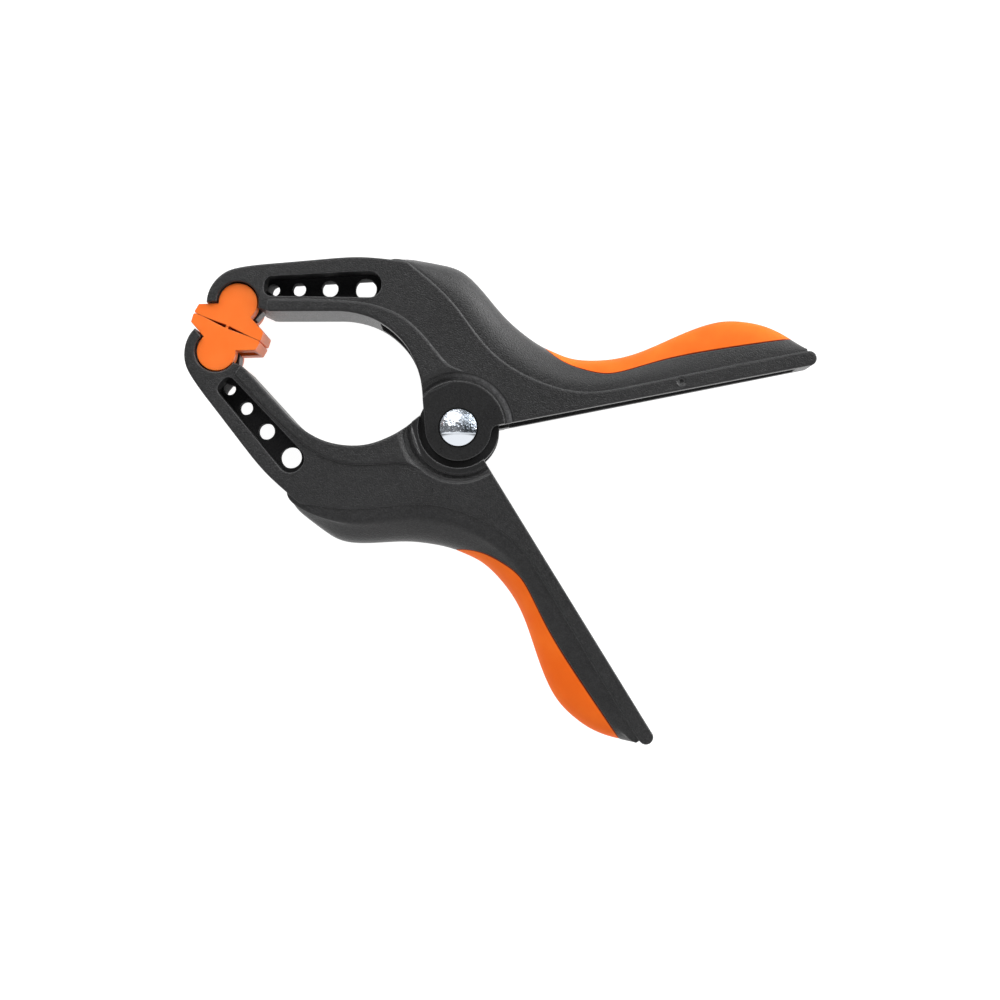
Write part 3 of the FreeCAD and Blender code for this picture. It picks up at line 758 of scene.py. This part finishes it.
def wire_tube(name, look):
    """The wound spring, and the height of its top turn's middle line less the wire's radius.

    It is a circle carried along the path and drawn in to a point over a rounded end. The circle's two
    directions are the sideways one and its cross product with the way forward."""
    path, sideways, rise = wire_path(look)
    radius = look.wire_radius / MM
    upward = np.cross(unit(np.gradient(path, axis=0)), sideways)
    run = run_length(path)
    end_length = radius * 0.5
    to_end = np.clip(np.minimum(run, run[-1] - run) / end_length, 0, 1)
    swell = radius * np.sqrt(1 - (1 - to_end) ** 2)
    turn = np.linspace(0, 2 * math.pi, WIRE_SIDES, endpoint=False)[None, :, None]
    ring_out = np.cos(turn) * sideways[:, None] + np.sin(turn) * upward[:, None]
    points = path[:, None] + ring_out * swell[:, None, None]
    row = np.arange(len(path) - 1)[:, None] * WIRE_SIDES
    side = np.arange(WIRE_SIDES)[None]
    cell, following = row + side, row + (side + 1) % WIRE_SIDES
    faces = np.stack([cell, following, following + WIRE_SIDES, cell + WIRE_SIDES], axis=2).reshape(-1, 4)
    return closed_mesh(name, points.reshape(-1, 3), faces), (rise / 2 - radius) * MM


def colour(name, description, value):
    """A colour that the user can pick."""
    return bpy.props.FloatVectorProperty(
        name=name, description=description, default=value, subtype="COLOR", size=3, min=0.0, max=1.0
    )


def length(name, description, value):
    """A length in metres that the user can set."""
    return bpy.props.FloatProperty(
        name=name, description=description, default=value, unit="LENGTH", precision=6
    )


def bearing(name, description, value):
    """A turn in degrees that the user can set."""
    return bpy.props.FloatProperty(
        name=name, description=description, default=value, min=-180.0, max=180.0
    )


def share(name, description, value):
    """A share from 0 to 1 that the user can set."""
    return bpy.props.FloatProperty(
        name=name, description=description, default=value, min=0.0, max=1.0, subtype="FACTOR"
    )


def brightness(name, description, value):
    """How bright a part of the tent is, where 1 is paper white, that the user can set."""
    return bpy.props.FloatProperty(
        name=name, description=description, default=value, min=0.0, soft_max=5.0
    )


class ArmLook(bpy.types.PropertyGroup):
    """Charcoal plastic of the arms."""

    colour: colour("Plastic", "Plastic in the shade", (0.010, 0.010, 0.0104))
    light_colour: colour("Pale plastic", "Plastic where its grain is rubbed", (0.032, 0.032, 0.033))
    # Paler edges, partly wear and partly a painted highlight; also the painted highlight band round the
    # hub.
    edge_and_highlight_colour: colour("Edges", "Plastic on worn edges", (0.12, 0.12, 0.123))
    roughness: share("Roughness", "Roughness of the plastic", 0.37)
    gloss: share("Gloss", "How much light the surface mirrors", 0.4)
    grain_size: length("Grain size", "Size of the grain", 0.00034)
    grain_depth: length("Grain depth", "Depth of the grain", 0.00014)
    edge_radius: length("Edge radius", "Radius that edges seem to have", 0.00045)
    # Painted shade in the jaws' recesses.
    recess_shade_colour: colour("Recesses", "Plastic in the jaws' recesses", (0.008, 0.008, 0.009))
    recess_lip: length("Recess lip", "Depth at which a recess's wall is fully dark", 0.0012)
    recess_margin: length("Recess margin", "How far outside its outline a recess is dark", 0.0001)
    recess_fade: length("Recess fade", "Width past the margin over which the dark fades", 0.0005)
    hub_radius: length("Hub radius", "Radius of the hub's smoother face", 0.01185)
    hub_fade: length("Hub fade", "Width over which the hub's face ends", 0.0003)
    # Painted shadow in a ring round the rivet's head.
    seat_shadow_colour: colour("Seat", "Plastic in the dark ring round the rivet's head", (0.001, 0.001, 0.001))
    seat_shadow_radius: length("Seat radius", "Outer radius of the dark ring round the rivet's head", 0.00515)
    seat_shadow_fade: length("Seat fade", "Width over which the dark ring ends", 0.0002)
    rim_radius: length("Rim radius", "Radius of the raised rim round the hub", 0.01315)
    rim_width: length("Rim width", "Half width of the raised rim", 0.0009)
    rim_height: length("Rim height", "Height of the raised rim", 0.0003)
    # Painted highlight: a paler band round the hub, on the side that faces the light.
    highlight_band_radius: length("Band radius", "Radius of the rubbed band round the hub", 0.0131)
    highlight_turn: bearing("Rubbed side", "Side of the hub that is rubbed, from the picture's right", 40.0)
    gate_radius: length("Gate radius", "Radius of the dish round the moulding gate", 0.0014)
    gate_depth: length("Gate depth", "Depth of the dish round the moulding gate", 0.0002)


class GripLook(bpy.types.PropertyGroup):
    """Soft orange skin of the handles."""

    colour: colour("Skin", "Skin where it is deep", (0.87, 0.128, 0.006))
    light_colour: colour("Pale skin", "Skin where it is pale", (0.97, 0.185, 0.016))
    # Painted shade along the skin's edge.
    edge_shade_colour: colour("Rim", "Dark rim along the skin's edge", (0.16, 0.02, 0.006))
    rim_width: length("Rim width", "Width of the dark rim", 0.00045)
    roughness: share("Roughness", "Roughness of the skin", 0.58)
    gloss: share("Gloss", "How much light the surface mirrors", 0.15)
    grain_size: length("Grain size", "Size of the grain", 0.0003)
    grain_depth: length("Grain depth", "Depth of the grain", 0.00002)
    edge_radius: length("Edge radius", "Radius that edges seem to have", 0.0)
    edge_round: length("Edge roll", "Radius of the roll at the skin's edge", 0.0004)
    proud: length("Crown", "Height above the arm", 0.0001)
    thickness: length("Thickness", "Thickness of the skin", 0.0015)


class PadLook(bpy.types.PropertyGroup):
    """Orange plastic of the pads."""

    colour: colour("Plastic", "Plastic where it is deep", (0.93, 0.165, 0.014))
    light_colour: colour("Pale plastic", "Plastic where it is pale", (1.0, 0.22, 0.03))
    roughness: share("Roughness", "Roughness of the plastic", 0.42)
    gloss: share("Gloss", "How much light the surface mirrors", 0.4)
    grain_size: length("Grain size", "Size of the grain", 0.00026)
    grain_depth: length("Grain depth", "Depth of the grain", 0.000015)
    edge_radius: length("Edge radius", "Radius that edges seem to have", 0.0003)


class RivetLook(bpy.types.PropertyGroup):
    """Bright plate of the rivet and its washer."""

    colour: colour("Plate", "Bright plate", (0.83, 0.87, 0.93))
    # Dark spots, partly tool marks and partly painted reflection.
    spot_colour: colour("Spots", "Plate where the tool has marked it", (0.40, 0.45, 0.52))
    # Painted shade on the right side of the plate, standing in for a darker reflection.
    side_shade_colour: colour("Dull plate", "Plate between the scars on the dull side", (0.11, 0.125, 0.14))
    roughness: share("Roughness", "Roughness of the bright plate", 0.06)
    dent_size: length("Dent size", "Size of the dents", 0.0007)
    dent_depth: length("Dent depth", "Depth of the dents", 0.00024)
    edge_radius: length("Edge radius", "Radius that edges seem to have", 0.00012)
    dents_start: length("Dents start", "Place above the axis where the smooth crescent ends", -0.0017)
    dents_full: length("Dents full", "Place above the axis where the dents are full", -0.0012)
    # Where the painted shade on the right side begins and where it is full.
    side_shade_start: length("Dull start", "Place right of the axis where the dull side begins", -0.0004)
    side_shade_full: length("Dull full", "Place right of the axis where the plate is fully dull", 0.0018)


class SpringLook(bpy.types.PropertyGroup):
    """Drawn wire of the spring."""

    colour: colour("Wire", "Bright wire", (0.36, 0.36, 0.38))
    scuff_colour: colour("Scuffs", "Wire where it is scuffed", (0.55, 0.54, 0.52))
    roughness: share("Roughness", "Roughness of the wire", 0.3)
    dent_size: length("Dent size", "Size of the dents", 0.0004)
    dent_depth: length("Dent depth", "Depth of the dents", 0.000008)
    wire_radius: length("Wire radius", "Radius of the wire", 0.0008)
    coil_radius: length("Coil radius", "Radius of the coil's middle line", 0.006)
    pitch: length("Pitch", "Rise of one turn", 0.00222)
    leg_length: length("Leg length", "Length of a leg", 0.022)
    turns: bpy.props.IntProperty(
        name="Turns", description="Whole turns between the legs", default=2, min=1, max=8
    )


class StageLook(bpy.types.PropertyGroup):
    """Floor and lights."""

    floor_colour: colour("Floor", "Floor where it is deep", (0.25, 0.25, 0.25))
    floor_light_colour: colour("Pale floor", "Floor where it is pale", (0.28, 0.28, 0.28))
    floor_size: length("Floor size", "Width of the floor", 4.0)
    floor_glow: share("Floor glow", "Light through the floor", 0.97)
    room_light: brightness("Room", "Brightness overhead", 0.27)
    upper_light: brightness("Upper wall", "Brightness of the upper wall", 0.72)
    lower_light: brightness("Lower wall", "Brightness of the lower wall", 0.95)
    high_light: brightness("High box", "Brightness of the high box", 5.5)
    low_light: brightness("Low box", "Brightness of the low box", 11.0)
    side_light: brightness("Side box", "Brightness of the box above the shoulder", 3.2)
    upper_start: share("Upper wall edge", "Where the upper wall starts", 0.40)
    lower_start: share("Lower wall edge", "Where the lower wall starts", 0.33)
    high_start: share("High box edge", "Where the high box starts", 0.925)
    low_start: share("Low box edge", "Where the low box starts", 0.86)
    side_start: share("Side box edge", "Where the box above the shoulder starts", 0.92)


LOOKS = {
    "clamp_arm": ArmLook,
    "clamp_grip": GripLook,
    "clamp_pad": PadLook,
    "clamp_rivet": RivetLook,
    "clamp_spring": SpringLook,
    "clamp_stage": StageLook,
}


def dress(node, material):
    """Puts a finish on a piece's own slots, and leaves its mesh as it is."""
    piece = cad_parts[node]
    for place in piece.material_slots:
        place.link = "OBJECT"
        place.material = material
    return piece


class FinishArms(bpy.types.Operator):
    """Finish both moulded arms."""

    bl_idname = "clamp.finish_arms"
    bl_label = "Finish the arms"

    def execute(self, context):
        plastic = grained_plastic("charcoal_plastic", context.scene.clamp_arm)
        for node in ("upper_arm", "lower_arm"):
            dress(node, plastic)
        return {"FINISHED"}


class FinishGrips(bpy.types.Operator):
    """Finish the soft skins of the handles."""

    bl_idname = "clamp.finish_grips"
    bl_label = "Finish the grips"

    def execute(self, context):
        look = context.scene.clamp_grip
        skin = soft_skin("orange_skin", look, rim=True)
        outer, inner, to_edge = grip_surface(look, SKIN_ROWS, SKIN_COLUMNS)
        for side, turned in (("upper", False), ("lower", True)):
            piece = closed_skin(side + "_grip_skin", outer, inner, to_edge, turned)
            piece.data.materials.append(skin)
            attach(piece, side + "_lever")
            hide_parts(side + "_grip")
        return {"FINISHED"}


class FinishPads(bpy.types.Operator):
    """Finish the swivelling pads."""

    bl_idname = "clamp.finish_pads"
    bl_label = "Finish the pads"

    def execute(self, context):
        plastic = soft_skin("orange_plastic", context.scene.clamp_pad)
        for node in ("upper_pad", "lower_pad"):
            dress(node, plastic)
        return {"FINISHED"}


class FinishRivet(bpy.types.Operator):
    """Finish the rivet and the washer under its tail."""

    bl_idname = "clamp.finish_rivet"
    bl_label = "Finish the rivet and washer"

    def execute(self, context):
        plate = struck_plate("bright_plate", context.scene.clamp_rivet)
        dress("pivot_rivet", plate)
        dress("rivet_washer", plate)
        return {"FINISHED"}


class FinishSpring(bpy.types.Operator):
    """Finish the wound spring."""

    bl_idname = "clamp.finish_spring"
    bl_label = "Finish the spring"

    def execute(self, context):
        look = context.scene.clamp_spring
        piece, level = wire_tube("wound_spring", look)
        piece.data.materials.append(drawn_wire("spring_wire", look))
        end = (RIVET_CENTRE[0], RIVET_CENTRE[1], -level)
        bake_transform(piece)
        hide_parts("torsion_spring")
        return {"FINISHED"}


class SetStage(bpy.types.Operator):
    """Lay the floor, place the lights and set the camera."""

    bl_idname = "clamp.set_stage"
    bl_label = "Set the stage"

    def execute(self, context):
        scene = context.scene
        look = scene.clamp_stage
        half = look.floor_size / 2
        height = start_bounds[0][2] - FLOOR_DROP
        corners = ((-half, -half), (half, -half), (half, half), (-half, half))
        mesh = bpy.data.meshes.new("studio_floor")
        mesh.from_pydata([(*corner, height) for corner in corners], [], [(0, 1, 2, 3)])
        mesh.materials.append(floor_paint("studio_white", look))
        floor = bpy.data.objects.new("studio_floor", mesh)
        scene.collection.objects.link(floor)

        scene.view_settings.view_transform = "Standard"
        scene.world = scene.world or bpy.data.worlds.new("studio")
        light_tent(scene.world, look)

        lens = bpy.data.cameras.new("studio_camera")
        lens.lens = LENS_LENGTH
        lens.sensor_width = SENSOR_WIDTH
        camera = bpy.data.objects.new("studio_camera", lens)
        camera.location = CAMERA_PLACE
        camera.rotation_euler = [math.radians(turn) for turn in (CAMERA_TILT, CAMERA_ROLL, CAMERA_TURN)]
        scene.collection.objects.link(camera)
        scene.camera = camera
        return {"FINISHED"}


OPERATORS = (FinishArms, FinishGrips, FinishPads, FinishRivet, FinishSpring, SetStage)


class ClampPanel(bpy.types.Panel):
    """Buttons and sizes for the clamp's finishes."""

    bl_idname = "VIEW3D_PT_clamp"
    bl_label = "Spring Clamp"
    bl_space_type = "VIEW_3D"
    bl_region_type = "UI"
    bl_category = "Clamp"

    def draw(self, context):
        for operator in OPERATORS:
            self.layout.operator(operator.bl_idname)
        for name, look in LOOKS.items():
            box = self.layout.box()
            for field in look.__annotations__:
                box.prop(getattr(context.scene, name), field)


def register():
    """Registers the looks, the operators and the panel."""
    for look in LOOKS.values():
        bpy.utils.register_class(look)
    for name, look in LOOKS.items():
        setattr(bpy.types.Scene, name, bpy.props.PointerProperty(type=look))
    for made in (*OPERATORS, ClampPanel):
        bpy.utils.register_class(made)


def unregister():
    """Takes back what register set up."""
    for made in (ClampPanel, *reversed(OPERATORS)):
        bpy.utils.unregister_class(made)
    for name, look in LOOKS.items():
        delattr(bpy.types.Scene, name)
        bpy.utils.unregister_class(look)


def main():
    """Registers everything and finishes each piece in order."""
    register()
    bpy.ops.clamp.finish_arms()
    bpy.ops.clamp.finish_grips()
    bpy.ops.clamp.finish_pads()
    bpy.ops.clamp.finish_rivet()
    bpy.ops.clamp.finish_spring()
    bpy.ops.clamp.set_stage()


if __name__ == "__main__":
    main()
